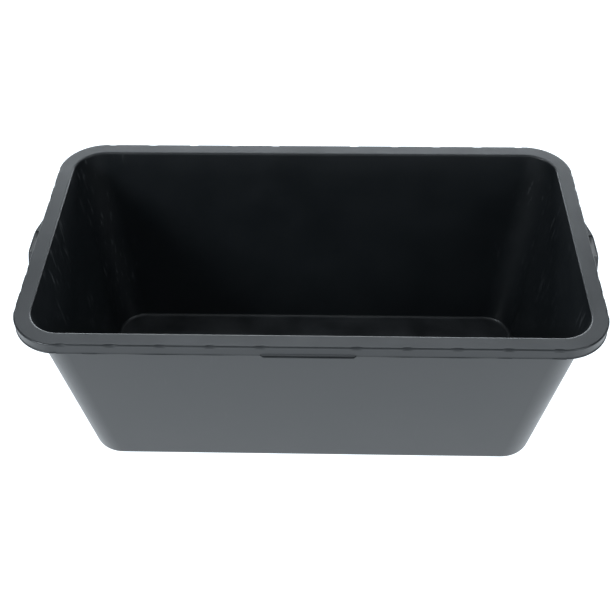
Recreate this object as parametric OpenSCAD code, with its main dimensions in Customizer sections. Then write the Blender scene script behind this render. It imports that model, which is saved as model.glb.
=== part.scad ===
// Rectangular mortar mixing tub, one injection moulding of black polyethylene.
// Millimetres, +Z up. The origin is on the ground under the middle of the tub,
// X runs along the tub, from ear to ear, and Y across it.
// The moulding is drawn as its own regions: each one is a closed solid that
// meets its neighbours face to face.

/* [Overall size] */
// Height from the ground to the top of the rim
tub_h = 297; // [250:1:340]
// Length of the rim, without the ears
rim_l = 750; // [680:1:820]
// Width of the rim
rim_w = 422; // [380:1:470]
// Length of the base, measured where the wall lines meet the floor
base_l = 637; // [580:1:680]
// Width of the base, measured where the wall lines meet the floor
base_w = 289; // [250:1:330]

/* [Walls and floor] */
// Thickness of the walls
wall_t = 3; // [2.5:0.1:4]
// Thickness of the floor
floor_t = 3.5; // [3:0.1:5]
// Radius of the outside corners, seen from above
corner_r = 45; // [35:1:55]
// Radius between the floor and the walls, outside
edge_r = 8; // [6:1:14]
// Radius between the floor and the walls, inside
inner_edge_r = 13; // [8:1:16]
// Height of the ring that the tub stands on
foot_h = 1.5; // [1:0.1:3]
// Width of the ring that the tub stands on
foot_w = 18; // [10:1:30]
// Diameter of the gate mark in the middle of the underside
gate_d = 14; // [8:1:20]

/* [Rim] */
// Width of the flat flange round the mouth
flange_w = 22; // [18:1:26]
// Thickness of the flange
flange_t = 3; // [2.5:0.1:4]
// Height of the rim, from its top to the bottom of the skirt
skirt_h = 16.5; // [14:0.5:22]
// Thickness of the skirt
skirt_t = 2.6; // [2:0.1:3.5]
// How far the straight skirts sit back from the edge of the flange
skirt_setback = 1.2; // [0.6:0.1:1.6]

/* [Rim ribs] */
// Thickness of the ribs under the flange
rib_t = 2; // [1.6:0.1:2.6]
// Depth of the ribs along the wall, from the top of the rim
rib_drop = 32; // [24:1:44]
// Spacing of the ribs along the long sides
rib_pitch = 61.5; // [55:0.5:63]
// Width of the sink mark in the skirt in front of each rib
sink_w = 12; // [6:1:16]
// Height of the sink marks
sink_h = 2; // [1:0.1:3]
// Depth of the sink marks
sink_depth = 0.9; // [0.4:0.1:1.2]

/* [Grips on the long sides] */
// Length of the finger grip in the middle of each long side
grip_l = 118; // [90:1:124]
// How far the grip's lip flares out from the skirt
grip_flare = 2.6; // [1.4:0.1:4]
// How far the grip's lip hangs below the skirt
grip_drop = 1.7; // [0.6:0.1:3]

/* [Ears on the short sides] */
// How far each ear stands out from the rim
ear_out = 11.5; // [10:0.5:20]
// Length of each ear where it meets the skirt
ear_root_l = 150; // [110:1:156]
// Length of each ear at its outer edge
ear_tip_l = 43; // [40:1:60]
// Thickness of the ear's plate
ear_t = 3; // [2.5:0.1:4]
// Thickness of the lip along the ear's edge
ear_lip_t = 2; // [1.8:0.1:3]
// How far the lip hangs below the skirt
ear_lip_h = 18; // [12:1:24]
// How far the ear's top lies above the bottom of the skirt
ear_rise = 3; // [1:0.5:6]
// Length of the slot in each ear
slot_l = 44; // [36:1:46]
// Width of the slot in each ear
slot_w = 8.4; // [6:0.1:8.4]

/* [Quality] */
// Flats in each corner of the walls
corner_steps = 16; // [8:1:24]

/* [Hidden] */
$fn = 96;

plastic = "#2a2d2f";
plastic_worn = "#34383a";

// Half sizes of the rim's outer edge, and its corners
rim_x = rim_l / 2;
rim_y = rim_w / 2;
rim_r = corner_r - wall_t + flange_w;
corner_x = rim_x - rim_r;
corner_y = rim_y - rim_r;

// Heights
inner_floor_z = foot_h + floor_t;
pan_top_z = inner_floor_z + inner_edge_r;
flange_under_z = tub_h - flange_t;
skirt_low_z = tub_h - skirt_h;
grip_top_z = skirt_low_z + 3;
rib_low_z = tub_h - rib_drop;
ear_top_z = skirt_low_z + ear_rise;

// The ears: their outer edge, the face of the skirt behind them and its back,
// the slope of their ends, and half their length on the skirt at an inset
ear_x = rim_x + ear_out;
ear_face_x = rim_x - skirt_setback;
ear_in_x = ear_face_x - skirt_t;
ear_slope = (ear_x - ear_face_x) / ((ear_root_l - ear_tip_l) / 2);
function ear_root(inset) =
    ear_root_l / 2 - inset * sqrt(1 + ear_slope * ear_slope) / ear_slope;

// Outside of the walls: half sizes at the top of the rim, and at the floor
wall_top_x = rim_x - flange_w + wall_t;
wall_top_y = rim_y - flange_w + wall_t;
lean_x = (wall_top_x - base_l / 2) / (tub_h - foot_h);
lean_y = (wall_top_y - base_w / 2) / (tub_h - foot_h);
function wall_x(z) = base_l / 2 + (z - foot_h) * lean_x;
function wall_y(z) = base_w / 2 + (z - foot_h) * lean_y;

// How far an edge of radius r, between a floor and a wall that leans by the
// tangent lean, cuts in from the wall's line at height h above the floor
function edge_cut(h, lean, r) =
    let (a = atan(lean), reach = r * tan(45 - a / 2))
    h >= r * (1 - sin(a)) ? 0 : reach - sqrt(r * r - pow(r - h, 2)) + h * lean;

// One ring of points: a rounded rectangle at height z
function ring(hx, hy, r, z) = [
    for (c = [0:3], i = [0:corner_steps])
        let (
            a = 90 * (c + i / corner_steps),
            sx = c == 0 || c == 3 ? 1 : -1,
            sy = c < 2 ? 1 : -1
        )
        [sx * (hx - r) + r * cos(a), sy * (hy - r) + r * sin(a), z]
];

// A ring of the tub's wall, t inside the outside face, over a floor at floor_z
function wall_ring(z, t, floor_z, r) =
    let (
        cut_x = edge_cut(z - floor_z, lean_x, r),
        cut_y = edge_cut(z - floor_z, lean_y, r)
    )
    ring(wall_x(z) - t - cut_x, wall_y(z) - t - cut_y,
         corner_r - t - (cut_x + cut_y) / 2, z);

// A closed solid through a list of rings of equal length
module loft(rings) {
    n = len(rings[0]);
    last = len(rings) - 1;
    points = [for (one = rings, p = one) p];
    sides = [
        for (k = [0:last - 1], i = [0:n - 1])
            let (j = (i + 1) % n)
            [k * n + i, (k + 1) * n + i, (k + 1) * n + j, k * n + j]
    ];
    first_cap = [for (i = [0:n - 1]) i];
    last_cap = [for (i = [n - 1:-1:0]) last * n + i];
    polyhedron(points, concat([first_cap], sides, [last_cap]), convexity = 6);
}

// A flat rounded rectangle, half sizes hx and hy, corner radius r
module rounded_rect(hx, hy, r) {
    square([2 * hx, 2 * (hy - r)], center = true);
    square([2 * (hx - r), 2 * hy], center = true);
    for (sx = [-1, 1], sy = [-1, 1])
        translate([sx * (hx - r), sy * (hy - r)]) circle(r);
}

// An outline in Y and Z, extruded along X from x0 over a thickness t
module slab_yz(x0, t, outline)
    translate([x0, 0, 0]) rotate([90, 0, 90]) linear_extrude(t) polygon(outline);

// An outline in X and Z, extruded along Y from y0 over a thickness t
module slab_xz(y0, t, outline)
    translate([0, y0 + t, 0]) rotate([90, 0, 0]) linear_extrude(t) polygon(outline);

// The floor, with the rounded edges that lead up into the walls
module floor_pan() {
    edge_angles = [0:15:90];
    outer = [
        for (a = edge_angles)
            wall_ring(foot_h + edge_r * (1 - cos(a)), 0, foot_h, edge_r)
    ];
    inner = [
        for (a = [90:-15:0])
            wall_ring(inner_floor_z + inner_edge_r * (1 - cos(a)), wall_t,
                      inner_floor_z, inner_edge_r)
    ];
    color(plastic) loft(concat(outer, [wall_ring(pan_top_z, 0, foot_h, edge_r)], inner));
}

// The four leaning walls and their rounded corners, one band above the floor
module tub_walls() {
    rings = [
        wall_ring(pan_top_z, 0, foot_h, edge_r),
        wall_ring(flange_under_z, 0, foot_h, edge_r),
        wall_ring(flange_under_z, wall_t, inner_floor_z, inner_edge_r),
        wall_ring(pan_top_z, wall_t, inner_floor_z, inner_edge_r)
    ];
    n = len(rings[0]);
    points = [for (one = rings, p = one) p];
    sides = [
        for (k = [0:3], i = [0:n - 1])
            let (j = (i + 1) % n, next = (k + 1) % 4)
            [k * n + i, next * n + i, next * n + j, k * n + j]
    ];
    color(plastic) polyhedron(points, sides, convexity = 6);
}

// The ring under the floor that the tub stands on
foot_x = base_l / 2 - edge_r;
foot_y = base_w / 2 - edge_r;
foot_r = corner_r - edge_r;
module foot_ring() {
    color(plastic) linear_extrude(foot_h) difference() {
        rounded_rect(foot_x, foot_y, foot_r);
        rounded_rect(foot_x - foot_w, foot_y - foot_w, foot_r - foot_w / 2);
    }
}

// The round mark that the plastic's inlet leaves, clear of the ground
module gate_mark() {
    color(plastic) translate([0, 0, foot_h / 2])
        cylinder(d = gate_d, h = foot_h / 2);
}

// The flat flange round the mouth
module rim_flange() {
    mouth_x = rim_x - flange_w;
    mouth_y = rim_y - flange_w;
    color(plastic_worn) translate([0, 0, flange_under_z])
        linear_extrude(flange_t) difference() {
            rounded_rect(rim_x, rim_y, rim_r);
            rounded_rect(mouth_x, mouth_y, rim_r - flange_w);
        }
}

// The places of the ribs along a long side and along a short side
long_stations = [for (k = [0:4]) min(grip_l / 2 + k * rib_pitch, corner_x - rib_t / 2)];
short_stations = [
    for (k = [0:2])
        ear_root_l / 2 + rib_t + k * (corner_y - ear_root_l / 2 - 1.5 * rib_t) / 2
];

// A straight skirt along X at the front, with a gap for the grip in its middle
module skirt_front() {
    face_y = -rim_y + skirt_setback;
    color(plastic_worn) difference() {
        translate([-corner_x, face_y, skirt_low_z])
            cube([2 * corner_x, skirt_t, skirt_h - flange_t]);
        translate([-grip_l / 2, face_y - 1, skirt_low_z - 1])
            cube([grip_l, skirt_t + 2, 1 + grip_top_z - skirt_low_z]);
        for (x = long_stations, side = [-1, 1])
            translate([side * x - sink_w / 2, face_y - 1, flange_under_z - sink_h])
                cube([sink_w, 1 + sink_depth, sink_h + 1]);
    }
}
module skirt_back() mirror([0, 1, 0]) skirt_front();

// A straight skirt along Y at the right-hand end, shorter over the ear
module skirt_right() {
    color(plastic_worn) difference() {
        translate([ear_in_x, -corner_y, skirt_low_z])
            cube([skirt_t, 2 * corner_y, skirt_h - flange_t]);
        translate([ear_in_x - 1, -ear_root(ear_lip_t), skirt_low_z - 1])
            cube([skirt_t + 2, 2 * ear_root(ear_lip_t), 1 + ear_rise]);
        for (y = short_stations, side = [-1, 1])
            translate([ear_face_x - sink_depth, side * y - sink_w / 2,
                       flange_under_z - sink_h])
                cube([1 + sink_depth, sink_w, sink_h + 1]);
    }
}
module skirt_left() mirror([1, 0, 0]) skirt_right();

// A quarter-round skirt, flush with the edge of the flange
module skirt_corner_back_right() {
    color(plastic_worn) translate([corner_x, corner_y, skirt_low_z])
        rotate_extrude(angle = 90)
            translate([rim_r - skirt_t, 0]) square([skirt_t, skirt_h - flange_t]);
}
module skirt_corner_back_left() mirror([1, 0, 0]) skirt_corner_back_right();
module skirt_corner_front_right() mirror([0, 1, 0]) skirt_corner_back_right();
module skirt_corner_front_left() mirror([1, 0, 0]) skirt_corner_front_right();

// The flared lip along the bottom of the front skirt, over which the fingers
// reach. It hangs from the shortened skirt above it.
module grip_lip_front() {
    face_y = -rim_y + skirt_setback;
    low_z = skirt_low_z - grip_drop;
    color(plastic_worn) slab_yz(-grip_l / 2, grip_l, [
        [face_y + skirt_t, grip_top_z],
        [face_y, grip_top_z],
        [face_y - grip_flare, low_z + 0.8],
        [face_y - grip_flare + 1.2, low_z],
        [face_y + skirt_t, low_z + 2.4]
    ]);
}
module grip_lip_back() mirror([0, 1, 0]) grip_lip_front();

// Ribs under the flange, between the leaning wall and the skirt
module ribs_front() {
    skirt_in_y = -rim_y + skirt_setback + skirt_t;
    outline = [
        [skirt_in_y, flange_under_z],
        [-wall_y(flange_under_z), flange_under_z],
        [-wall_y(rib_low_z), rib_low_z],
        [skirt_in_y, skirt_low_z + 1]
    ];
    color(plastic) for (x = long_stations, side = [-1, 1])
        slab_yz(side * x - rib_t / 2, rib_t, outline);
}
module ribs_back() mirror([0, 1, 0]) ribs_front();

module ribs_right() {
    outline = [
        [wall_x(flange_under_z), flange_under_z],
        [ear_in_x, flange_under_z],
        [ear_in_x, skirt_low_z + 1],
        [wall_x(rib_low_z), rib_low_z]
    ];
    color(plastic) for (y = short_stations, side = [-1, 1])
        slab_xz(side * y - rib_t / 2, rib_t, outline);
}
module ribs_left() mirror([1, 0, 0]) ribs_right();

// Ribs that fan out under a corner of the flange. At the angle a the wall's
// corner lies wall_reach(z, a) from the middle of the rim's corner.
function wall_reach(z, a) =
    corner_r - (wall_top_x - wall_x(z)) * cos(a) - (wall_top_y - wall_y(z)) * sin(a);
module ribs_corner_back_right() {
    color(plastic) for (a = [22.5:22.5:67.5])
        translate([corner_x, corner_y, 0]) rotate([0, 0, a])
            slab_xz(-rib_t / 2, rib_t, [
                [wall_reach(flange_under_z, a), flange_under_z],
                [rim_r - skirt_t, flange_under_z],
                [rim_r - skirt_t, skirt_low_z + 1],
                [wall_reach(rib_low_z, a), rib_low_z]
            ]);
}
module ribs_corner_back_left() mirror([1, 0, 0]) ribs_corner_back_right();
module ribs_corner_front_right() mirror([0, 1, 0]) ribs_corner_back_right();
module ribs_corner_front_left() mirror([1, 0, 0]) ribs_corner_front_right();

// The plate of an ear: a shelf under the shortened skirt, with a long slot in
// it that is open towards the lip
module ear_outline(inset) {
    root = ear_root(inset);
    tip = root + inset / ear_slope - (ear_root_l - ear_tip_l) / 2;
    polygon([
        [ear_in_x, -root], [ear_face_x, -root], [ear_x - inset, -tip],
        [ear_x - inset, tip], [ear_face_x, root], [ear_in_x, root]
    ]);
}
module slot_outline() {
    out_x = ear_x - ear_lip_t;
    offset(2) translate([out_x - slot_w + 2, 2 - slot_l / 2])
        square([slot_w, slot_l - 4]);
}
module ear_right() {
    color(plastic_worn) translate([0, 0, ear_top_z - ear_t])
        linear_extrude(ear_t) difference() {
            ear_outline(ear_lip_t);
            slot_outline();
        }
}
module ear_left() mirror([1, 0, 0]) ear_right();

// The upright lip along the ear's edge, from the top of its plate down
module ear_lip_right() {
    color(plastic_worn) translate([0, 0, skirt_low_z - ear_lip_h])
        linear_extrude(ear_lip_h + ear_rise) difference() {
            ear_outline(0);
            ear_outline(ear_lip_t);
            translate([ear_in_x - 1, -ear_root_l / 2 - 1])
                square([ear_face_x - ear_in_x + 1, ear_root_l + 2]);
        }
}
module ear_lip_left() mirror([1, 0, 0]) ear_lip_right();

// Two gussets that carry an ear's plate back to the wall
module ear_gussets_right() {
    under_z = ear_top_z - ear_t;
    outline = [
        [wall_x(flange_under_z), flange_under_z],
        [ear_in_x, flange_under_z],
        [ear_in_x, under_z],
        [wall_x(rib_low_z), rib_low_z]
    ];
    color(plastic) for (side = [-1, 1])
        slab_xz(side * (ear_tip_l + ear_root_l) / 4 - rib_t / 2, rib_t, outline);
}
module ear_gussets_left() mirror([1, 0, 0]) ear_gussets_right();

floor_pan();
foot_ring();
gate_mark();
tub_walls();
rim_flange();
skirt_front();
skirt_back();
skirt_left();
skirt_right();
skirt_corner_front_left();
skirt_corner_front_right();
skirt_corner_back_left();
skirt_corner_back_right();
grip_lip_front();
grip_lip_back();
ribs_front();
ribs_back();
ribs_left();
ribs_right();
ribs_corner_front_left();
ribs_corner_front_right();
ribs_corner_back_left();
ribs_corner_back_right();
ear_left();
ear_right();
ear_lip_left();
ear_lip_right();
ear_gussets_left();
ear_gussets_right();
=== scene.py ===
import math

import bmesh
import bpy
from bpy.props import FloatProperty, FloatVectorProperty, PointerProperty
from bpy.types import Operator, Panel, PropertyGroup
from mathutils import Matrix, Vector


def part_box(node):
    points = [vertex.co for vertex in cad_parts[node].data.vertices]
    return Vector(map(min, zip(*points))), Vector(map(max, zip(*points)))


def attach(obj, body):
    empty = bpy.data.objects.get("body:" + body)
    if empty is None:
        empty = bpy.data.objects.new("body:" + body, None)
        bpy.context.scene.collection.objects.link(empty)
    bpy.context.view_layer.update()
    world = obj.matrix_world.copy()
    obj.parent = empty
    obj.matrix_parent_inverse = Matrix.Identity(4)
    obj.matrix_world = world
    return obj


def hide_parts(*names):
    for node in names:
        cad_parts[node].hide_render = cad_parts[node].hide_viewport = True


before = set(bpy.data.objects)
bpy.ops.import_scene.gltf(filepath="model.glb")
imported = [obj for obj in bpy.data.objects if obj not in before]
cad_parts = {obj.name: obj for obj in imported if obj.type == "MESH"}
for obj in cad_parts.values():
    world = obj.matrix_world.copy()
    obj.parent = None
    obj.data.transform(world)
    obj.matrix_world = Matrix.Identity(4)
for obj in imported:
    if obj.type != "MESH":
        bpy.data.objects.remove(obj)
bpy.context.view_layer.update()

bl_info = {
    "name": "Mortar mixing tub",
    "version": (1, 0, 0),
    "blender": (4, 5, 0),
    "location": "View3D > Sidebar > Tub",
    "description": "Moulds a black mortar tub round its CAD frame",
    "category": "Object",
}

BODY = "root"
SIDES = ("front", "back", "left", "right")
CORNERS = ("front_left", "front_right", "back_left", "back_right")

# ---------------------------------------------------------------------------
# Sizes in metres, from the frame where it has them
# ---------------------------------------------------------------------------

FLANGE_LOW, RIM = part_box("rim_flange")
PAN_LOW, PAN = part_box("floor_pan")
WALL_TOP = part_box("tub_walls")[1]
SKIRT_LOW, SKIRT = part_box("skirt_right")
LONG_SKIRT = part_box("skirt_back")[1]

FLANGE_UNDER = FLANGE_LOW.z
SKIRT_BOTTOM = SKIRT_LOW.z
SKIRT_THICKNESS = SKIRT.x - SKIRT_LOW.x
SETBACK = RIM.x - SKIRT.x
LEAN = Vector((WALL_TOP.x - PAN.x, WALL_TOP.y - PAN.y)) / (FLANGE_UNDER - PAN.z)
RIM_CORNER = Vector((LONG_SKIRT.x, SKIRT.y))
RIM_RADIUS = RIM.x - RIM_CORNER.x
CORNER_RADIUS = RIM_RADIUS - (RIM.x - WALL_TOP.x) + LEAN.x * (RIM.z - FLANGE_UNDER)
GRIP_LOW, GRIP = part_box("grip_lip_back")
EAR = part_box("ear_right")[1]

# The thin sheets' thickness
WALL_THICKNESS = 0.003
RIB_THICKNESS = 0.002

# Where the ribs meet the skirts, on each half of a long and of a short side
LAST_LONG_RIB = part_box("ribs_front")[1].x - RIB_THICKNESS / 2
LONG_RIBS = [GRIP.x + k * (LAST_LONG_RIB - GRIP.x) / 4 for k in range(5)]
EAR_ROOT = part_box("ear_lip_right")[1].y
LAST_SHORT_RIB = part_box("ribs_right")[1].y - RIB_THICKNESS / 2
FIRST_SHORT_RIB = EAR_ROOT + RIB_THICKNESS
SHORT_RIBS = [FIRST_SHORT_RIB + k * (LAST_SHORT_RIB - FIRST_SHORT_RIB) / 2 for k in range(3)]

# The bead along the skirts: where it is thick on a long side, over what length, its usual
# share of its full depth, and what its waves and the thick places add to that share
THICK_BEADS = (-0.271, 0.240, 0.306)
THICK_BEAD_WIDTH = 0.018
BEAD_SHARE, BEAD_WAVES, BEAD_THICKER = 0.72, 0.28, 0.3
QUICK_WAVE, SLOW_WAVE = 61, 23    # radians of the bead's two waves for each metre

# A sink mark reaches this far past its half width, and fades away over this length
MARK_MARGIN, MARK_FADE = 0.001, 0.0025
LOWER_MARK_SHARE = 0.4    # depth of a sink mark on the skirt, as a share of the flange's

# Numbers of steps in the meshes
EDGE_STEPS = 8
MOUTH_STEPS = 7
WALL_STEPS = 10
CORNER_STEPS = 32
GRIP_STEPS = 40
SKIRT_STEPS = 60

SHARP_ANGLE = math.radians(35)

# The end walls' rub marks begin at the first of these distances from the tub's middle
# and are full at the second
RUBBED_ENDS = (0.27, 0.30)

# The studio's lights: name, place, size and radiance
LIGHTS = (
    ("backdrop_light", (0, 3.2, 1.1), (4.5, 1.2), 7.8),
    ("overhead_light", (0, 1.3, 2.9), (3.0, 0.8), 5.4),
    ("left_light", (-1.7, -1.5, 1.5), (0.7, 0.7), 21.0),
    ("right_light", (1.7, -1.5, 1.5), (0.7, 0.7), 9.0),
    ("front_light", (0, -3.0, 0.35), (4.0, 0.5), 2.4),
    ("high_front_light", (0, -1.9, 2.1), (1.0, 0.4), 2.6),
)
LIGHT_TARGET = (0, 0, 0.15)
TABLE_HALF = 6            # half the width of the light table
ROOM_SEEN = 1.2           # the room's brightness where the camera sees it


def wall_half(z):
    """Half length and half width of the walls' outside at height z."""
    return Vector((WALL_TOP.x, WALL_TOP.y)) - LEAN * (FLANGE_UNDER - z)


# ---------------------------------------------------------------------------
# Settings
# ---------------------------------------------------------------------------


class TubShape(PropertyGroup):
    """Sizes of the moulding's small details."""

    floor_thickness: FloatProperty(
        name="Floor thickness", description="Thickness of the tub's floor",
        default=0.0035, unit="LENGTH")
    base_edge: FloatProperty(
        name="Base edge", description="Outside radius between the floor and the walls",
        default=0.008, unit="LENGTH")
    floor_edge: FloatProperty(
        name="Floor edge", description="Inside radius between the floor and the walls",
        default=0.005, unit="LENGTH")
    mouth_edge: FloatProperty(
        name="Mouth edge", description="Radius of the flange's inner edge",
        default=0.003, unit="LENGTH")
    rim_edge: FloatProperty(
        name="Rim edge", description="Radius of the flange's outer edge",
        default=0.0022, unit="LENGTH")
    bead: FloatProperty(
        name="Bead", description="How far the bead along the skirts' lower edge stands out",
        default=0.00119, unit="LENGTH")
    sink_width: FloatProperty(
        name="Sink mark width", description="Width of the sink mark in front of each rib",
        default=0.012, unit="LENGTH")
    sink_height: FloatProperty(
        name="Sink mark height", description="How far the sink marks reach down the skirts",
        default=0.0014, unit="LENGTH")
    sink_depth: FloatProperty(
        name="Sink mark depth", description="Depth of the sink marks at the flange's top edge",
        default=0.0013, unit="LENGTH")


class TubFinish(PropertyGroup):
    """Colour and surface of the plastic."""

    colour: FloatVectorProperty(
        name="Plastic", description="Colour of the black polyethylene",
        subtype="COLOR", size=3, min=0, max=1, default=(0.0068, 0.0085, 0.0100))
    bloom: FloatVectorProperty(
        name="Bloom", description="Colour of the faint haze on handled plastic",
        subtype="COLOR", size=3, min=0, max=1, default=(0.034, 0.038, 0.042))
    # A lighter colour for the floor; low on the floor's rounded edge it is a painted highlight
    floor_and_highlight: FloatVectorProperty(
        name="Lighter floor and painted highlight", description="Lighter colour of the floor plastic, also a painted highlight low on the floor's rounded edge",
        subtype="COLOR", size=3, min=0, max=1, default=(0.018, 0.020, 0.022))
    scuff: FloatVectorProperty(
        name="Scuff", description="Colour of the scuffed plastic",
        subtype="COLOR", size=3, min=0, max=1, default=(0.090, 0.095, 0.100))
    roughness: FloatProperty(
        name="Roughness", description="Roughness of the clean moulded surface",
        default=0.36, min=0, max=1)


class TubStage(PropertyGroup):
    """The camera, the floor and the studio lights."""

    camera_place: FloatVectorProperty(
        name="Camera", description="Where the camera stands",
        subtype="TRANSLATION", size=3, default=(0.029083, -1.098123, 1.220708))
    camera_down: FloatProperty(
        name="Camera tilt", description="How far the camera looks down",
        subtype="ANGLE", default=math.radians(43.8138))
    camera_turn: FloatProperty(
        name="Camera turn", description="How far the camera turns to the left",
        subtype="ANGLE", default=math.radians(2.0724))
    camera_roll: FloatProperty(
        name="Camera roll", description="How far the camera leans over",
        subtype="ANGLE", default=math.radians(-0.8668))
    lens: FloatProperty(
        name="Lens", description="Focal length on a 36 mm frame, in millimetres",
        default=62.147)
    light_colour: FloatVectorProperty(
        name="Light colour", description="Colour of all the lights, a slightly cool white",
        subtype="COLOR", size=3, min=0, default=(0.93, 1.0, 1.06))
    floor_glow: FloatProperty(
        name="Floor glow", description="Light that the table's white top gives off",
        default=1.35, min=0)
    room_light: FloatProperty(
        name="Room light", description="Light that the white room gives off",
        default=0.22, min=0)


# ---------------------------------------------------------------------------
# Mesh helpers
# ---------------------------------------------------------------------------


def rounded_ring(half_x, half_y, radius, z, corner_steps=16, long_steps=24, short_steps=14):
    """Points round a rounded rectangle, anticlockwise from the right-hand side."""
    arcs = []
    for quarter, (sx, sy) in enumerate(((1, 1), (-1, 1), (-1, -1), (1, -1))):
        centre = Vector((sx * (half_x - radius), sy * (half_y - radius), z))
        turns = [math.pi / 2 * (quarter + k / corner_steps) for k in range(corner_steps + 1)]
        arcs.append([centre + radius * Vector((math.cos(a), math.sin(a), 0)) for a in turns])
    points = []
    for quarter, bend in enumerate(arcs):
        start, end = bend[-1], arcs[(quarter + 1) % 4][0]
        steps = long_steps if quarter % 2 == 0 else short_steps
        points += bend + [start.lerp(end, k / steps) for k in range(1, steps)]
    return points


def skin(bm, rings, closed=False, materials=None):
    """Faces between neighbouring rings. Open rings are capped, closed ones join up."""
    rows = [[bm.verts.new(p) for p in ring] for ring in rings]
    following = rows[1:] + rows[:1] if closed else rows[1:]
    for k, (low, high) in enumerate(zip(rows, following)):
        for i in range(len(low)):
            j = (i + 1) % len(low)
            face = bm.faces.new((low[i], low[j], high[j], high[i]))
            face.material_index = materials[k] if materials else 0
    if not closed:
        first = bm.faces.new(list(reversed(rows[0])))
        last = bm.faces.new(rows[-1])
        if materials:
            first.material_index, last.material_index = materials[0], materials[-1]


def extrude_section(bm, section, stations, place):
    """A solid with the outline section(u) at each station u, put in place by place(u, v, z)."""
    skin(bm, [[place(u, v, z) for v, z in section(u)] for u in stations])


def make_piece(bm, name, nodes, materials, edge=0.0):
    """Turns bm into a piece that rides on the tub's body and stands for CAD nodes."""
    bmesh.ops.remove_doubles(bm, verts=bm.verts, dist=1e-7)
    bmesh.ops.recalc_face_normals(bm, faces=bm.faces)
    mesh = bpy.data.meshes.new(name)
    bm.to_mesh(mesh)
    bm.free()
    for polygon in mesh.polygons:
        polygon.use_smooth = True
    mesh.set_sharp_from_angle(angle=SHARP_ANGLE)
    for material in materials:
        mesh.materials.append(material)
    piece = bpy.data.objects.new(name, mesh)
    bpy.context.scene.collection.objects.link(piece)
    if edge:
        rounded = piece.modifiers.new("Rounded edges", "BEVEL")
        rounded.width = edge
        rounded.segments = 3
        rounded.limit_method = "ANGLE"
        rounded.harden_normals = True
    weighted = piece.modifiers.new("Flat faces stay flat", "WEIGHTED_NORMAL")
    weighted.keep_sharp = True
    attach(piece, BODY)
    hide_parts(*nodes)


def arc(centre, radius, start, end, steps):
    """Points along an arc from the angle start to end, in degrees."""
    turns = [math.radians(start + (end - start) * k / steps) for k in range(steps + 1)]
    return [(centre[0] + radius * math.cos(a), centre[1] + radius * math.sin(a)) for a in turns]


def edge_cut(height, lean, radius):
    """How far a rounded edge between a flat face and a leaning wall cuts in at a height."""
    angle = math.atan(lean)
    if height >= radius * (1 - math.sin(angle)):
        return 0.0
    reach = radius * math.tan(math.pi / 4 - angle / 2)
    return reach - math.sqrt(radius ** 2 - (radius - height) ** 2) + height * lean


def side_place(side):
    """Maps a length along a side, a distance outwards and a height to a point."""
    turn = {"front": 0, "right": 90, "back": 180, "left": 270}[side]
    matrix = Matrix.Rotation(math.radians(turn), 3, "Z")
    return lambda u, v, z: matrix @ Vector((u, -v, z))


# ---------------------------------------------------------------------------
# Materials
# ---------------------------------------------------------------------------


def new_group(name, inputs, outputs):
    """An empty shader node group with named sockets, and its two end nodes."""
    group = bpy.data.node_groups.new(name, "ShaderNodeTree")
    for label, kind, default in inputs:
        socket = group.interface.new_socket(label, in_out="INPUT", socket_type=kind)
        socket.default_value = default
    for label, kind in outputs:
        group.interface.new_socket(label, in_out="OUTPUT", socket_type=kind)
    return group, group.nodes.new("NodeGroupInput"), group.nodes.new("NodeGroupOutput")


def add_node(tree, kind, links=(), **values):
    """A node with some of its inputs linked or set, given as {input: socket or value}."""
    node = tree.nodes.new(kind)
    for key, value in values.items():
        setattr(node, key, value)
    for key, value in dict(links).items():
        if isinstance(value, bpy.types.NodeSocket):
            tree.links.new(value, node.inputs[key])
        else:
            node.inputs[key].default_value = value
    return node


def moulded_grain_group():
    """Fine grain and slow unevenness of a moulded surface as one height, and its patches."""
    group, start, end = new_group(
        "Moulded grain",
        [("Grain", "NodeSocketFloat", 0.5), ("Waviness", "NodeSocketFloat", 0.5)],
        [("Height", "NodeSocketFloat"), ("Patches", "NodeSocketFloat")])
    place = add_node(group, "ShaderNodeTexCoord").outputs["Object"]
    grain = add_node(group, "ShaderNodeTexNoise", {"Vector": place, "Scale": 1400.0, "Detail": 3.0})
    slow = add_node(group, "ShaderNodeTexNoise", {"Vector": place, "Scale": 7.0, "Detail": 2.0})
    patches = add_node(group, "ShaderNodeTexNoise", {"Vector": place, "Scale": 16.0, "Detail": 6.0})
    fine = add_node(group, "ShaderNodeMath", {0: grain.outputs["Fac"], 1: start.outputs["Grain"]},
                    operation="MULTIPLY")
    wide = add_node(group, "ShaderNodeMath", {0: slow.outputs["Fac"], 1: start.outputs["Waviness"]},
                    operation="MULTIPLY")
    both = add_node(group, "ShaderNodeMath", {0: fine.outputs[0], 1: wide.outputs[0]},
                    operation="ADD")
    group.links.new(both.outputs[0], end.inputs["Height"])
    group.links.new(patches.outputs["Fac"], end.inputs["Patches"])


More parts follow.
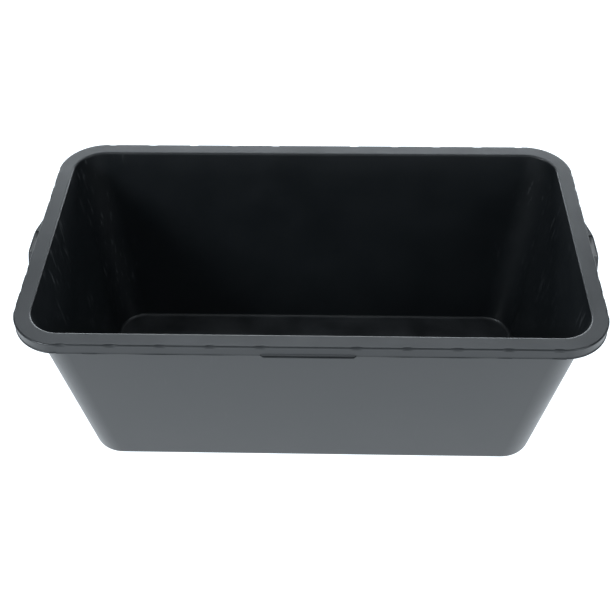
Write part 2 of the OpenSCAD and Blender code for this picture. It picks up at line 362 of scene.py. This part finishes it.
def scuff_group():
    """Thin rub marks in loose patches, weaker in the tub's middle, as a mask from 0 to 1."""
    group, start, end = new_group(
        "Rub marks",
        [("Amount", "NodeSocketFloat", 0.5), ("Middle", "NodeSocketFloat", 1.0),
         ("Along", "NodeSocketVector", (220.0, 220.0, 9.0))],
        [("Mask", "NodeSocketFloat")])
    place = add_node(group, "ShaderNodeTexCoord").outputs["Object"]
    parts = add_node(group, "ShaderNodeSeparateXYZ", {"Vector": place})
    far = add_node(group, "ShaderNodeMath", {0: parts.outputs["X"]}, operation="ABSOLUTE")
    ends = add_node(group, "ShaderNodeMapRange",
                    {"Value": far.outputs[0], "From Min": RUBBED_ENDS[0],
                     "From Max": RUBBED_ENDS[1], "To Min": start.outputs["Middle"],
                     "To Max": 1.0})
    stretched = add_node(group, "ShaderNodeVectorMath", {0: place, 1: start.outputs["Along"]},
                         operation="MULTIPLY")
    streaks = add_node(group, "ShaderNodeTexNoise",
                       {"Vector": stretched.outputs[0], "Scale": 1.0, "Detail": 4.0})
    thin = add_node(group, "ShaderNodeMapRange",
                    {"Value": streaks.outputs["Fac"], "From Min": 0.60, "From Max": 0.74})
    areas = add_node(group, "ShaderNodeTexNoise", {"Vector": place, "Scale": 9.0, "Detail": 2.0})
    patch = add_node(group, "ShaderNodeMapRange",
                     {"Value": areas.outputs["Fac"], "From Min": 0.44, "From Max": 0.60,
                      "To Max": ends.outputs[0]})
    inside = add_node(group, "ShaderNodeMath", {0: thin.outputs[0], 1: patch.outputs[0]},
                      operation="MULTIPLY")
    amount = add_node(group, "ShaderNodeMath", {0: inside.outputs[0], 1: start.outputs["Amount"]},
                      operation="MULTIPLY")
    group.links.new(amount.outputs[0], end.inputs["Mask"])


def moulded_plastic_group():
    """Black polyethylene with a faint haze and rub marks: colour, roughness and height."""
    finish = bpy.context.scene.tub_finish
    group, start, end = new_group(
        "Moulded plastic",
        [("Plastic", "NodeSocketColor", (*finish.colour, 1)),
         ("Bloom", "NodeSocketColor", (*finish.bloom, 1)),
         ("Scuff", "NodeSocketColor", (*finish.scuff, 1)),
         ("Grain", "NodeSocketFloat", 0.1), ("Waviness", "NodeSocketFloat", 1.0),
         ("Rub", "NodeSocketFloat", 0.1), ("Middle", "NodeSocketFloat", 1.0),
         ("Along", "NodeSocketVector", (220.0, 220.0, 9.0)),
         ("Haze", "NodeSocketFloat", 0.2)],
        [("Colour", "NodeSocketColor"), ("Roughness", "NodeSocketFloat"),
         ("Height", "NodeSocketFloat")])
    surface = add_node(group, "ShaderNodeGroup",
                       {"Grain": start.outputs["Grain"], "Waviness": start.outputs["Waviness"]},
                       node_tree=bpy.data.node_groups["Moulded grain"])
    marks = add_node(group, "ShaderNodeGroup",
                     {"Amount": start.outputs["Rub"], "Middle": start.outputs["Middle"],
                      "Along": start.outputs["Along"]},
                     node_tree=bpy.data.node_groups["Rub marks"])
    hazy = add_node(group, "ShaderNodeMapRange",
                    {"Value": surface.outputs["Patches"], "From Min": 0.35, "From Max": 0.75,
                     "To Max": start.outputs["Haze"]})
    tinted = add_node(group, "ShaderNodeMix",
                      {"Factor": hazy.outputs[0], "A": start.outputs["Plastic"],
                       "B": start.outputs["Bloom"]}, data_type="RGBA")
    rubbed = add_node(group, "ShaderNodeMix",
                      {"Factor": marks.outputs["Mask"], "A": tinted.outputs["Result"],
                       "B": start.outputs["Scuff"]}, data_type="RGBA")
    rough = add_node(group, "ShaderNodeMapRange",
                     {"Value": surface.outputs["Patches"], "From Min": 0.3, "From Max": 0.7,
                      "To Min": finish.roughness - 0.03, "To Max": finish.roughness + 0.04})
    rougher = add_node(group, "ShaderNodeMath",
                       {0: marks.outputs["Mask"], 1: 0.18, 2: rough.outputs[0]},
                       operation="MULTIPLY_ADD")
    group.links.new(rubbed.outputs["Result"], end.inputs["Colour"])
    group.links.new(rougher.outputs[0], end.inputs["Roughness"])
    group.links.new(surface.outputs["Height"], end.inputs["Height"])


def plastic_material(name, grain, waviness, rub, along, haze, **others):
    """The moulded plastic with its own grain, waviness, rub marks and haze.

    along stretches the rub marks, and others are more of the group's inputs."""
    material = bpy.data.materials.new(name)
    material.use_nodes = True
    tree = material.node_tree
    tree.nodes.clear()
    look = add_node(tree, "ShaderNodeGroup",
                    {"Grain": grain, "Waviness": waviness, "Rub": rub, "Along": along,
                     "Haze": haze, **others},
                    node_tree=bpy.data.node_groups["Moulded plastic"])
    bump = add_node(tree, "ShaderNodeBump",
                    {"Strength": 1.0, "Distance": 0.0002, "Height": look.outputs["Height"]})
    shader = add_node(tree, "ShaderNodeBsdfPrincipled",
                      {"Base Color": look.outputs["Colour"], "Roughness": look.outputs["Roughness"],
                       "Normal": bump.outputs[0], "IOR": 1.52})
    output = add_node(tree, "ShaderNodeOutputMaterial")
    tree.links.new(shader.outputs[0], output.inputs["Surface"])


def build_materials():
    """The node groups and all the plastics of the tub."""
    moulded_grain_group()
    scuff_group()
    moulded_plastic_group()
    finish = bpy.context.scene.tub_finish
    upright, level = (220.0, 220.0, 9.0), (12.0, 220.0, 220.0)
    plastic_material("Outer wall plastic", 0.10, 1.2, 0.05, upright, 0.15)
    # The inside walls get less haze than the outside ones, so their colour is painted darker as
    # shade inside the tub
    plastic_material("Inner wall plastic", 0.10, 1.2, 0.65, upright, 0.05, Middle=0.04)
    # The floor is painted lighter than the walls, with the scuff colour as its haze, and low on its
    # rounded edge this lighter colour is a painted highlight
    plastic_material("Floor plastic", 0.14, 1.4, 0.20, level, 0.5,
                     Plastic=(*finish.floor_and_highlight, 1), Bloom=(*finish.scuff, 1))
    plastic_material("Underside plastic", 0.16, 1.0, 0.35, level, 0.4)
    plastic_material("Rim plastic", 0.10, 1.0, 0.08, level, 0.15)
    plastic_material("Rib plastic", 0.08, 0.5, 0.05, upright, 0.1)


def plastics(*names):
    """The materials with these names."""
    return [bpy.data.materials[f"{name} plastic"] for name in names]


# ---------------------------------------------------------------------------
# The tub's pieces
# ---------------------------------------------------------------------------


def wall_ring(z, inset, floor_z, edge_radius, inward=0.0, **steps):
    """A ring round the walls at height z, inset from their outside.

    Near floor_z it follows the rounded edge, and inward moves it in over the floor."""
    half = wall_half(z)
    cut_x = edge_cut(z - floor_z, LEAN.x, edge_radius)
    cut_y = edge_cut(z - floor_z, LEAN.y, edge_radius)
    radius = CORNER_RADIUS - inset - (cut_x + cut_y) / 2 - inward
    return rounded_ring(half.x - inset - cut_x - inward, half.y - inset - cut_y - inward,
                        radius, z, **steps)


class TUB_OT_shell(Operator):
    """Mould the floor and the four leaning walls as one thin shell"""

    bl_idname = "tub.shell"
    bl_label = "Shell"

    def execute(self, context):
        shape = context.scene.tub_shape
        outer_floor, inner_floor = PAN_LOW.z, PAN_LOW.z + shape.floor_thickness
        wall_low = outer_floor + shape.base_edge
        rises = [1 - math.cos(math.pi / 2 * k / EDGE_STEPS) for k in range(EDGE_STEPS + 1)]
        shares = [k / WALL_STEPS for k in range(1, WALL_STEPS + 1)]

        def outer(z, inward=0.0):
            return wall_ring(z, 0, outer_floor, shape.base_edge, inward)

        def inner(z, inward=0.0):
            return wall_ring(z, WALL_THICKNESS, inner_floor, shape.floor_edge, inward)

        narrow, wide = 0.004, 0.02
        underside = [outer(outer_floor, narrow), outer(outer_floor)]
        outside = [outer(outer_floor + shape.base_edge * rise) for rise in rises[1:]]
        outside += [outer(wall_low + (FLANGE_UNDER - wall_low) * share) for share in shares]
        inside = [inner(PAN.z + (FLANGE_UNDER - PAN.z) * share) for share in reversed(shares)]
        edge = [inner(inner_floor + shape.floor_edge * rise) for rise in reversed(rises)]
        # The lighter floor plastic begins on the lower part of the floor's rounded edge, where it
        # paints a highlight along that edge
        highlight_from = 6
        inside += edge[:highlight_from]
        floor = edge[highlight_from:] + [inner(inner_floor, narrow), inner(inner_floor, wide)]
        rings = underside + outside + inside + floor
        slots = [3] + [0] * len(outside) + [1] * len(inside) + [2] * len(floor)
        bm = bmesh.new()
        skin(bm, rings, materials=slots)
        make_piece(bm, "tub_shell", ["floor_pan", "tub_walls"],
                   plastics("Outer wall", "Inner wall", "Floor", "Underside"))
        return {"FINISHED"}


class TUB_OT_foot(Operator):
    """Mould the ring that the tub stands on, and the inlet's mark"""

    bl_idname = "tub.foot"
    bl_label = "Foot"

    def execute(self, context):
        low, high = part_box("foot_ring")
        width, edge = 0.018, 0.0006
        radius = CORNER_RADIUS - (wall_half(PAN_LOW.z).x - high.x)
        outline = [(0, high.z)] + arc((-edge, low.z + edge), edge, 0, -90, 3)
        outline += arc((edge - width, low.z + edge), edge, -90, -180, 3)
        outline += [(-width, high.z)]
        rings = [rounded_ring(high.x + v, high.y + v, radius + v / 2, z)
                 for v, z in outline]
        bm = bmesh.new()
        skin(bm, rings, closed=True)
        make_piece(bm, "foot_ring", ["foot_ring"], plastics("Underside"))
        low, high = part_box("gate_mark")
        outer, lip, chamfer, hollow = high.x, 0.0012, 0.0002, 0.0004
        stub, stub_shoulder, stub_end = 0.0018, 0.0012, 0.0008
        profile = [(outer, high.z), (outer, low.z + chamfer), (outer - chamfer, low.z),
                   (outer - lip, low.z), (outer - lip - hollow, low.z + hollow),
                   (stub, low.z + hollow), (stub_shoulder, low.z + chamfer / 2),
                   (stub_end, low.z)]
        bm = bmesh.new()
        turns = [2 * math.pi * k / 48 for k in range(48)]
        skin(bm, [[Vector((r * math.cos(a), r * math.sin(a), z)) for a in turns]
                  for r, z in profile])
        make_piece(bm, "gate_mark", ["gate_mark"], plastics("Underside"))
        return {"FINISHED"}


def bumps(u, stations, width):
    """1 at each station, falling smoothly to 0 half a width away."""
    nearest = min(abs(u - station) for station in stations)
    t = max(0.0, min(1.0, (width / 2 + MARK_MARGIN - nearest) / MARK_FADE))
    return t * t * (3 - 2 * t)


class TUB_OT_flange(Operator):
    """Mould the flat flange round the mouth, with its rounded edges"""

    bl_idname = "tub.flange"
    bl_label = "Flange"

    def execute(self, context):
        shape = context.scene.tub_shape
        top, mouth, edge = RIM.z, shape.mouth_edge, shape.rim_edge
        lean = math.atan((LEAN.x + LEAN.y) / 2)
        fine = {"long_steps": 240, "short_steps": 110}
        rings = [wall_ring(FLANGE_UNDER, WALL_THICKNESS, 0, 0, **fine)]
        for k in range(MOUTH_STEPS + 1):
            height = mouth * (1 - math.sin(lean + (math.pi / 2 - lean) * k / MOUTH_STEPS))
            half = wall_half(top - height)
            cuts = [edge_cut(height, tilt, mouth) for tilt in LEAN]
            inner_radius = CORNER_RADIUS - WALL_THICKNESS + sum(cuts) / 2
            rings.append(rounded_ring(
                half.x - WALL_THICKNESS + cuts[0], half.y - WALL_THICKNESS + cuts[1],
                inner_radius, top - height, **fine))
        # The last ring is where the mouth's edge meets the flat top
        inner = Vector((rings[-1][0].x, max(p.y for p in rings[-1])))
        flat_end = Vector((RIM.x - edge, RIM.y - edge))
        flat_shares = (0.04, 0.45, 0.85)
        for share in flat_shares:
            half = inner.lerp(flat_end, share)
            radius = inner_radius + (RIM_RADIUS - edge - inner_radius) * share
            rings.append(rounded_ring(half.x, half.y, radius, top, **fine))
        low_edge = 0.0004
        outline = arc((-edge, top - edge), edge, 90, 0, 6)
        outline += arc((-low_edge, FLANGE_UNDER + low_edge), low_edge, 0, -90, 2)
        for v, z in outline:
            ring = rounded_ring(RIM.x + v, RIM.y + v, RIM_RADIUS + v, z, **fine)
            depth = shape.sink_depth * (z - FLANGE_UNDER) / (top - FLANGE_UNDER)
            rings.append([self.dented(point, depth, shape.sink_width) for point in ring])
        bm = bmesh.new()
        skin(bm, rings, closed=True)
        make_piece(bm, "rim_flange", ["rim_flange"], plastics("Rim"))
        return {"FINISHED"}

    def dented(self, point, depth, width):
        """A point of the flange's edge, set back where a rib below has left a sink mark."""
        if abs(point.x) < RIM_CORNER.x:
            set_back = depth * bumps(abs(point.x), LONG_RIBS, width)
            return point - Vector((0, math.copysign(set_back, point.y), 0))
        if abs(point.y) < RIM_CORNER.y:
            set_back = depth * bumps(abs(point.y), SHORT_RIBS, width)
            return point - Vector((math.copysign(set_back, point.x), 0, 0))
        return point


def skirt_stations(half, ribs, width):
    """Lengths along a skirt, close together where its sink marks begin and end."""
    fine_step = 0.0004
    steps = [-half + 2 * half * k / SKIRT_STEPS for k in range(SKIRT_STEPS + 1)]
    for rib in ribs:
        for edge in (rib - width / 2, rib + width / 2):
            steps += [s * (edge + d * fine_step) for s in (-1, 1) for d in range(-4, 5)]
    return sorted({round(u, 5) for u in steps if abs(u) <= half})


def skirt_outline(face, low, top, bead, sink=0.0, mark=None):
    """A skirt's section: a thin sheet with a beaded lower edge, and a sink mark at its top."""
    back, round_off = face - SKIRT_THICKNESS, 0.0007
    # The bead's radius, and heights above the lower edge
    bead_round, bead_middle, fillet, bead_end, plain = 0.0004, 0.0005, 0.0017, 0.0023, 0.0036
    # Lengths below and above the sink mark's end
    mark_fade, mark_edge = 0.0012, 0.0003
    outline = [(back, top), (back, low + round_off)]
    outline += arc((back + round_off, low + round_off), round_off, 180, 270, 3)[1:]
    outline += [(face - 0.0006, low), (face + bead - 0.0003, low + 0.0001)]
    outline += arc((face + bead - bead_round, low + bead_middle), bead_round, -60, 45, 4)
    outline += [(face + 0.25 * bead, low + fillet), (face, low + bead_end), (face, low + plain)]
    mark = top if mark is None else mark
    outline += [(face, mark - mark_fade), (face, mark - mark_edge),
                (face - sink, mark + mark_edge), (face - sink, top)]
    return outline


class TUB_OT_skirts(Operator):
    """Mould the skirts that hang from the flange's edge"""

    bl_idname = "tub.skirts"
    bl_label = "Skirts"

    def execute(self, context):
        for side in ("front", "back"):
            self.straight(context, side, RIM.y, RIM_CORNER.x, LONG_RIBS, (GRIP.x, GRIP.z))
        for side in ("left", "right"):
            self.straight(context, side, RIM.x, RIM_CORNER.y, SHORT_RIBS, (EAR.y, EAR.z))
        for corner in CORNERS:
            self.corner(context, corner)
        return {"FINISHED"}

    def straight(self, context, side, rim, half, ribs, gap):
        """One straight skirt, with sink marks, and shorter over the half length of gap."""
        shape = context.scene.tub_shape
        phase = 7.0 * SIDES.index(side)

        def section(u):
            in_gap = abs(u) < gap[0]
            low = gap[1] if in_gap else SKIRT_BOTTOM
            mark = bumps(abs(u), ribs, shape.sink_width)
            sink = LOWER_MARK_SHARE * shape.sink_depth * mark
            wave = math.sin(u * QUICK_WAVE + phase) * math.sin(u * SLOW_WAVE + 2 * phase)
            thick = bumps(u, THICK_BEADS, THICK_BEAD_WIDTH)
            share = BEAD_SHARE + BEAD_WAVES * wave + BEAD_THICKER * thick
            bead = shape.bead * min(1.0, share)
            return skirt_outline(rim - SETBACK, low, FLANGE_UNDER, 0 if in_gap else bead,
                                 sink, FLANGE_UNDER - shape.sink_height)

        # More stations at the gap's ends, and where the bead's thick places begin and end
        hair = 0.00001
        stations = skirt_stations(half, ribs, shape.sink_width)
        stations += [s * (gap[0] + d) for s in (-1, 1) for d in (-hair, hair)]
        stations += [place + s * THICK_BEAD_WIDTH * d for place in THICK_BEADS
                     for s in (-1, 1) for d in (0.4, 0.5) if abs(place) < half]
        stations = sorted(set(stations))
        bm = bmesh.new()
        extrude_section(bm, section, stations, side_place(side))
        make_piece(bm, f"skirt_{side}", [f"skirt_{side}"], plastics("Rim"))

    def corner(self, context, corner):
        """One quarter-round skirt, flush with the flange's edge."""
        bead = context.scene.tub_shape.bead
        sx = 1 if "right" in corner else -1
        sy = 1 if "back" in corner else -1
        rings = []
        blend_steps = 4
        for k in range(CORNER_STEPS + 1):
            a = math.pi / 2 * k / CORNER_STEPS
            # The corner's face comes forward from the straight skirts over its first degrees
            forward = min(1.0, k / blend_steps, (CORNER_STEPS - k) / blend_steps)
            face = RIM_RADIUS - SETBACK * (1 - forward * forward * (3 - 2 * forward))
            outline = skirt_outline(face - bead, SKIRT_BOTTOM, FLANGE_UNDER, bead)
            rings.append([Vector((sx * (RIM_CORNER.x + v * math.cos(a)),
                                  sy * (RIM_CORNER.y + v * math.sin(a)), z)) for v, z in outline])
        bm = bmesh.new()
        skin(bm, rings)
        make_piece(bm, f"skirt_corner_{corner}", [f"skirt_corner_{corner}"], plastics("Rim"))


class TUB_OT_grips(Operator):
    """Mould the flared lips that the fingers reach over on the long sides"""

    bl_idname = "tub.grips"
    bl_label = "Grips"

    def execute(self, context):
        face, back, out = RIM.y - SETBACK, GRIP_LOW.y, GRIP.y
        low, top = GRIP_LOW.z, GRIP.z
        lip_round, lip_middle, lip_height = 0.0005, 0.0006, 0.0012
        back_height, underside = 0.0026, 0.0014
        hollow = out - face - lip_middle
        hollow_height = lip_height + hollow * 1.25
        outline = [(back, top), (back, low + back_height), (out - underside, low + 0.0001)]
        outline += arc((out - lip_round, low + lip_middle), lip_round, -100, 50, 6)
        outline += arc((out - lip_middle, low + hollow_height), hollow, -90, -180, 6)
        outline += [(face, top - 0.0004), (face, top)]
        # The lip draws in over its last few millimetres
        draw_in, less_flare, less_drop = 0.06, 0.55, 0.3
        for side in ("front", "back"):
            place = side_place(side)
            rings = []
            for k in range(GRIP_STEPS + 1):
                along = 2 * k / GRIP_STEPS - 1
                t = max(0.0, (abs(along) - 1 + draw_in) / draw_in)
                flare = 1 - less_flare * t * t
                drop = 1 - less_drop * t * t
                rings.append([place(GRIP.x * along, back + (v - back) * (flare if v > face else 1),
                                    top - (top - z) * drop) for v, z in outline])
            bm = bmesh.new()
            skin(bm, rings)
            make_piece(bm, f"grip_lip_{side}", [f"grip_lip_{side}"], plastics("Rim"))
        return {"FINISHED"}


def rib(bm, place, station, wall_top, wall_low, skirt_in, low, skirt_low):
    """One thin rib between the wall and the skirt, thinner towards its lower edge."""
    thin, thinner = 0.8, 0.7
    outline = [(skirt_in, FLANGE_UNDER, 1.0), (wall_top, FLANGE_UNDER, 1.0),
               (wall_low, low, thinner), (skirt_in, skirt_low, thin)]
    rings = []
    for side in (-1, 1):
        rings.append([place(station + side * RIB_THICKNESS / 2 * wide, v, z)
                      for v, z, wide in outline])
    skin(bm, rings)


class TUB_OT_ribs(Operator):
    """Mould the ribs under the flange"""

    bl_idname = "tub.ribs"
    bl_label = "Ribs"

    def execute(self, context):
        low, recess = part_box("ribs_front")[0].z, 0.001
        skirt_low = SKIRT_BOTTOM + recess
        half_top, half_low = wall_half(FLANGE_UNDER), wall_half(low)
        for side in SIDES:
            long = side in ("front", "back")
            axis = 1 if long else 0
            skirt_in = RIM[axis] - SETBACK - SKIRT_THICKNESS
            bm = bmesh.new()
            for station in LONG_RIBS if long else SHORT_RIBS:
                for sign in (-1, 1):
                    rib(bm, side_place(side), sign * station, half_top[axis], half_low[axis],
                        skirt_in, low, skirt_low)
            make_piece(bm, f"ribs_{side}", [f"ribs_{side}"], plastics("Rib"))
        for corner in CORNERS:
            self.corner(corner, low, skirt_low)
        return {"FINISHED"}

    def corner(self, corner, low, skirt_low):
        """The ribs that fan out under one corner of the flange."""
        sx = 1 if "right" in corner else -1
        sy = 1 if "back" in corner else -1
        brim = wall_half(RIM.z)
        bm = bmesh.new()
        for turn in (22.5, 45.0, 67.5):
            a = math.radians(turn)
            ahead = Vector((math.cos(a), math.sin(a), 0))
            across = Vector((-math.sin(a), math.cos(a), 0))
            centre = Vector((RIM_CORNER.x, RIM_CORNER.y, 0))

            def reach(z):
                back = brim - wall_half(z)
                return CORNER_RADIUS - back.x * ahead.x - back.y * ahead.y

            def place(u, v, z):
                point = centre + v * ahead + u * across + Vector((0, 0, z))
                return Vector((sx * point.x, sy * point.y, point.z))

            rib(bm, place, 0, reach(FLANGE_UNDER), reach(low), RIM_RADIUS - SKIRT_THICKNESS,
                low, skirt_low)
        make_piece(bm, f"ribs_corner_{corner}", [f"ribs_corner_{corner}"], plastics("Rib"))


def flat_outline(name, outline, low, high):
    """A flat solid between two heights, from a closed outline."""
    curve = bpy.data.curves.new(name, "CURVE")
    curve.dimensions = "2D"
    curve.fill_mode = "BOTH"
    curve.extrude = (high - low) / 2
    spline = curve.splines.new("POLY")
    spline.points.add(len(outline) - 1)
    for point, (x, y) in zip(spline.points, outline):
        point.co = (x, y, 0, 1)
    spline.use_cyclic_u = True
    drawn = bpy.data.objects.new(name, curve)
    bpy.context.scene.collection.objects.link(drawn)
    bpy.context.view_layer.update()
    solid = bpy.data.meshes.new_from_object(drawn.evaluated_get(
        bpy.context.evaluated_depsgraph_get()))
    bpy.data.objects.remove(drawn)
    bm = bmesh.new()
    bm.from_mesh(solid)
    bmesh.ops.remove_doubles(bm, verts=bm.verts, dist=1e-6)
    bmesh.ops.dissolve_limit(bm, angle_limit=0.01, verts=bm.verts, edges=bm.edges)
    bmesh.ops.translate(bm, verts=bm.verts, vec=(0, 0, (low + high) / 2))
    return bm


def softened(path, radius):
    """An open path with the corners between its ends rounded off."""
    steps = 6
    points = [path[0]]
    for before, here, after in zip(path, path[1:], path[2:]):
        corner = Vector(here)
        start = corner + (Vector(before) - corner).normalized() * radius
        end = corner + (Vector(after) - corner).normalized() * radius
        for k in range(steps + 1):
            t = k / steps
            points.append(tuple((1 - t) ** 2 * start + 2 * t * (1 - t) * corner + t * t * end))
    return points + [path[-1]]


class TUB_OT_ears(Operator):
    """Mould the slotted ears on the short sides, with their lips and gussets"""

    bl_idname = "tub.ears"
    bl_label = "Ears"

    def execute(self, context):
        lip_width, tip, slot_half, slot_width = 0.002, 0.0215, 0.022, 0.0084
        lip_round, slot_round, lip_edge = 0.008, 0.002, 0.0007
        face = RIM.x - SETBACK
        for side, sign in (("left", -1), ("right", 1)):
            low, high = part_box(f"ear_{side}")
            lip_low, lip_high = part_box(f"ear_lip_{side}")
            inner = min(abs(low.x), abs(high.x))
            outer = max(abs(lip_low.x), abs(lip_high.x))
            slope = (outer - face) / (EAR_ROOT - tip)
            end = lip_width * math.sqrt(1 + slope * slope) / slope
            inside, inside_tip = outer - lip_width, tip - end + lip_width / slope
            root = EAR_ROOT - end
            mouth = inside - (slot_half - inside_tip) * slope
            slot = softened([(mouth, -slot_half), (inside - slot_width, -slot_half),
                             (inside - slot_width, slot_half), (mouth, slot_half)],
                            slot_round)
            plate = [(inner, -root), (face, -root), *slot, (face, root), (inner, root)]
            bm = flat_outline(f"ear_{side}", self.turned(plate, sign), low.z, high.z)
            make_piece(bm, f"ear_{side}", [f"ear_{side}"], plastics("Rim"))
            band = softened([(face, -EAR_ROOT), (outer, -tip), (outer, tip), (face, EAR_ROOT)],
                            lip_round)
            band += softened([(face, root), (inside, inside_tip), (inside, -inside_tip),
                              (face, -root)], lip_round)
            bm = flat_outline(f"ear_lip_{side}", self.turned(band, sign), lip_low.z, lip_high.z)
            make_piece(bm, f"ear_lip_{side}", [f"ear_lip_{side}"], plastics("Rim"), edge=lip_edge)
            self.gussets(side, sign, inner, low.z)
        return {"FINISHED"}

    def turned(self, path, sign):
        """The path of the right-hand ear, turned round for the left-hand one."""
        return [(sign * x, sign * y) for x, y in path]

    def gussets(self, side, sign, inner, under):
        """The two gussets that carry an ear's plate back to the wall."""
        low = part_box("ribs_right")[0].z
        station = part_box(f"ear_gussets_{side}")[1].y - RIB_THICKNESS / 2
        bm = bmesh.new()
        for end in (-1, 1):
            rib(bm, side_place(side), end * station, wall_half(FLANGE_UNDER).x,
                wall_half(low).x, inner, low, under)
        make_piece(bm, f"ear_gussets_{side}", [f"ear_gussets_{side}"], plastics("Rib"))


# ---------------------------------------------------------------------------
# The stage
# ---------------------------------------------------------------------------


def light_table_material(colour, glow):
    """A pale table top that glows softly, and that isn't seen from below."""
    material = bpy.data.materials.new("Light table")
    material.use_nodes = True
    tree = material.node_tree
    tree.nodes.clear()
    pale = add_node(tree, "ShaderNodeBsdfDiffuse", {"Color": (0.2, 0.2, 0.2, 1)})
    shine = add_node(tree, "ShaderNodeEmission", {"Color": (*colour, 1), "Strength": glow})
    both = add_node(tree, "ShaderNodeAddShader", {0: pale.outputs[0], 1: shine.outputs[0]})
    clear = add_node(tree, "ShaderNodeBsdfTransparent")
    path = add_node(tree, "ShaderNodeLightPath")
    back = add_node(tree, "ShaderNodeNewGeometry")
    seen = add_node(tree, "ShaderNodeMath",
                    {0: path.outputs["Is Camera Ray"], 1: back.outputs["Backfacing"]},
                    operation="MULTIPLY")
    mixed = add_node(tree, "ShaderNodeMixShader",
                     {0: seen.outputs[0], 1: both.outputs[0], 2: clear.outputs[0]})
    output = add_node(tree, "ShaderNodeOutputMaterial")
    tree.links.new(mixed.outputs[0], output.inputs["Surface"])
    return material


def soft_light(name, place, size, radiance):
    """A large rectangular light that faces the tub, equally bright whatever its size."""
    light = bpy.data.lights.new(name, "AREA")
    light.shape = "RECTANGLE"
    light.size, light.size_y = size
    light.energy = math.pi * size[0] * size[1] * radiance
    light.color = bpy.context.scene.tub_stage.light_colour
    lamp = bpy.data.objects.new(name, light)
    lamp.location = place
    ahead = Vector(LIGHT_TARGET) - Vector(place)
    lamp.rotation_euler = ahead.to_track_quat("-Z", "Y").to_euler()
    lamp.visible_camera = False
    bpy.context.scene.collection.objects.link(lamp)


class TUB_OT_stage(Operator):
    """Set up the light table, the white room, the soft lights and the camera"""

    bl_idname = "tub.stage"
    bl_label = "Stage"

    def execute(self, context):
        stage = context.scene.tub_stage
        bm = bmesh.new()
        bmesh.ops.create_grid(bm, x_segments=8, y_segments=8, size=TABLE_HALF)
        mesh = bpy.data.meshes.new("table_top")
        bm.to_mesh(mesh)
        bm.free()
        mesh.materials.append(light_table_material(stage.light_colour, stage.floor_glow))
        table = bpy.data.objects.new("table_top", mesh)
        context.scene.collection.objects.link(table)
        self.room(context, stage)
        for light in LIGHTS:
            soft_light(*light)
        self.camera(context, stage)
        context.scene.view_settings.view_transform = "Standard"
        return {"FINISHED"}

    def room(self, context, stage):
        """A white room that gives off only a little light."""
        world = bpy.data.worlds.new("White room")
        world.use_nodes = True
        tree = world.node_tree
        tree.nodes.clear()
        path = add_node(tree, "ShaderNodeLightPath")
        strength = add_node(tree, "ShaderNodeMapRange",
                            {"Value": path.outputs["Is Camera Ray"],
                             "To Min": stage.room_light, "To Max": ROOM_SEEN})
        light = add_node(tree, "ShaderNodeBackground",
                         {"Color": (*stage.light_colour, 1), "Strength": strength.outputs[0]})
        output = add_node(tree, "ShaderNodeOutputWorld")
        tree.links.new(light.outputs[0], output.inputs["Surface"])
        context.scene.world = world

    def camera(self, context, stage):
        """The camera, in front of the tub and looking down into it."""
        camera = bpy.data.cameras.new("camera")
        camera.sensor_width = 36
        camera.lens = stage.lens
        eye = bpy.data.objects.new("camera", camera)
        turn = Matrix.Rotation(stage.camera_turn, 4, "Z")
        down = Matrix.Rotation(math.pi / 2 - stage.camera_down, 4, "X")
        roll = Matrix.Rotation(stage.camera_roll, 4, "Z")
        eye.matrix_world = Matrix.Translation(stage.camera_place) @ turn @ down @ roll
        context.scene.collection.objects.link(eye)
        context.scene.camera = eye


class TUB_PT_sidebar(Panel):
    """Lists the steps that build the tub"""

    bl_idname = "TUB_PT_sidebar"
    bl_label = "Mortar tub"
    bl_space_type = "VIEW_3D"
    bl_region_type = "UI"
    bl_category = "Tub"

    def draw(self, context):
        for step in STEPS:
            self.layout.operator(step.bl_idname)


SETTINGS = (TubShape, TubFinish, TubStage)
STEPS = (TUB_OT_stage, TUB_OT_shell, TUB_OT_foot, TUB_OT_flange, TUB_OT_skirts,
         TUB_OT_grips, TUB_OT_ribs, TUB_OT_ears)
CLASSES = (*SETTINGS, *STEPS, TUB_PT_sidebar)


def register():
    for one in CLASSES:
        bpy.utils.register_class(one)
    bpy.types.Scene.tub_shape = PointerProperty(type=TubShape)
    bpy.types.Scene.tub_finish = PointerProperty(type=TubFinish)
    bpy.types.Scene.tub_stage = PointerProperty(type=TubStage)


def unregister():
    del bpy.types.Scene.tub_stage
    del bpy.types.Scene.tub_finish
    del bpy.types.Scene.tub_shape
    for one in reversed(CLASSES):
        bpy.utils.unregister_class(one)


def main():
    register()
    build_materials()
    bpy.ops.tub.stage()
    bpy.ops.tub.shell()
    bpy.ops.tub.foot()
    bpy.ops.tub.flange()
    bpy.ops.tub.skirts()
    bpy.ops.tub.grips()
    bpy.ops.tub.ribs()
    bpy.ops.tub.ears()


if __name__ == "__main__":
    main()
